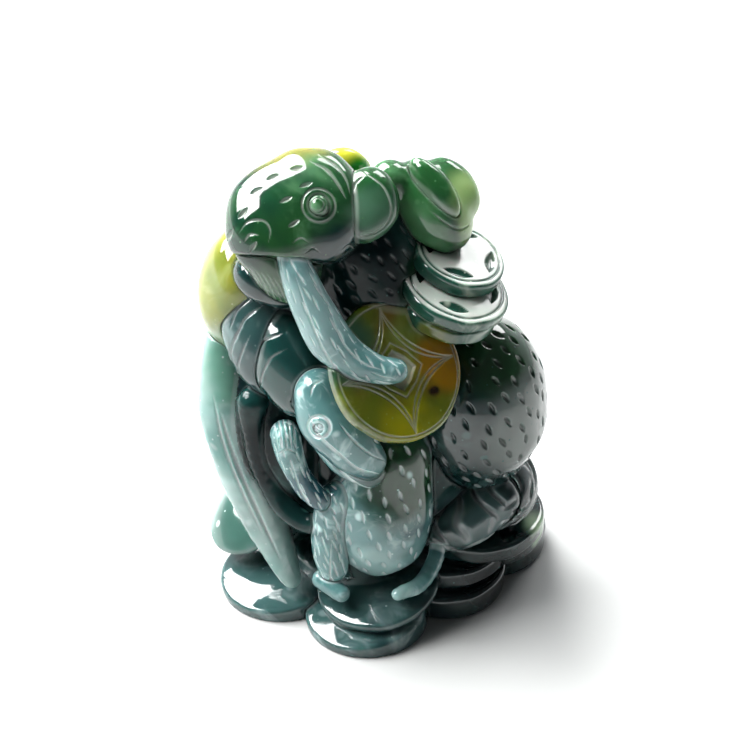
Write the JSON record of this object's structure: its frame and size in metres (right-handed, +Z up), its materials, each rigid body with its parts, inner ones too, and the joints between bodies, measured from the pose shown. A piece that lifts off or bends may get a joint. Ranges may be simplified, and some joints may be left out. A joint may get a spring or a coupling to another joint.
{
  "type": "jade figurine",
  "caption": "Polished jade hand piece carved as a rat over a heap of pierced coins, with a smaller rat, a gathered money bag and an ingot, to stand on a table.",
  "frame": {"origin": "on the surface it stands on, under the middle of its outline", "axes": "+Z up, -Y to the front, where the held coin faces, and +X to the viewer's right"},
  "size_m": [0.0478, 0.0402, 0.0683],
  "materials": {
    "jade_head_green": "polished, mid green with darker cloud and an olive upper rim",
    "jade_olive_yellow": "polished, olive yellow running to bright green",
    "jade_amber": "polished, translucent olive with amber and brown patches and a pale rim",
    "jade_light_teal": "polished, pale blue-green with cloudy white veils",
    "jade_dark_teal": "polished, near-black blue-green with fine white specks",
    "jade_lime": "polished, translucent yellow green fading to pale grey-green",
    "jade_pale": "polished, milky grey-green",
    "jade_grey_green": "polished, smoky grey-green"
  },
  "bodies": {
    "root": {"bag_back_fold": "jade_lime", "bag_cord": "jade_dark_teal", "bag_drape": "jade_pale", "bag_front_fold": "jade_dark_teal", "bag_gather": "jade_dark_teal", "bag_middle_fold": "jade_grey_green", "bag_side": "jade_dark_teal", "base_coin_back": "jade_dark_teal", "base_coin_front": "jade_grey_green", "base_coin_left": "jade_grey_green", "base_coin_left_back": "jade_dark_teal", "base_coin_right": "jade_dark_teal", "base_coin_right_front": "jade_dark_teal", "base_core": "jade_grey_green", "big_rat_back": "jade_dark_teal", "big_rat_belly": "jade_dark_teal", "big_rat_chest": "jade_dark_teal", "big_rat_far_ear": "jade_olive_yellow", "big_rat_far_eye": "jade_head_green", "big_rat_foreleg": "jade_light_teal", "big_rat_head": "jade_head_green", "big_rat_hind_foot": "jade_dark_teal", "big_rat_hock": "jade_dark_teal", "big_rat_jaw": "jade_head_green", "big_rat_left_haunch": "jade_dark_teal", "big_rat_near_ear": "jade_head_green", "big_rat_near_eye": "jade_head_green", "big_rat_right_haunch": "jade_dark_teal", "big_rat_tail": "jade_dark_teal", "held_coin": "jade_amber", "ingot_dome": "jade_head_green", "ingot_hull": "jade_head_green", "leaning_coin_left": "jade_pale", "shoulder_coin_bottom": "jade_dark_teal", "shoulder_coin_middle": "jade_dark_teal", "shoulder_coin_top": "jade_dark_teal", "small_rat_body": "jade_light_teal", "small_rat_ear": "jade_light_teal", "small_rat_eye": "jade_light_teal", "small_rat_foot": "jade_light_teal", "small_rat_forepaw": "jade_light_teal", "small_rat_head": "jade_light_teal", "small_rat_hind_leg": "jade_light_teal", "small_rat_jaw": "jade_light_teal", "small_rat_tail": "jade_light_teal", "upper_coin_back": "jade_dark_teal", "upper_coin_front": "jade_grey_green", "upper_coin_left_back": "jade_dark_teal", "upper_coin_right": "jade_dark_teal", "upper_coin_right_front": "jade_dark_teal", "upper_coin_right_top": "jade_dark_teal"}
  },
  "joints": []
}
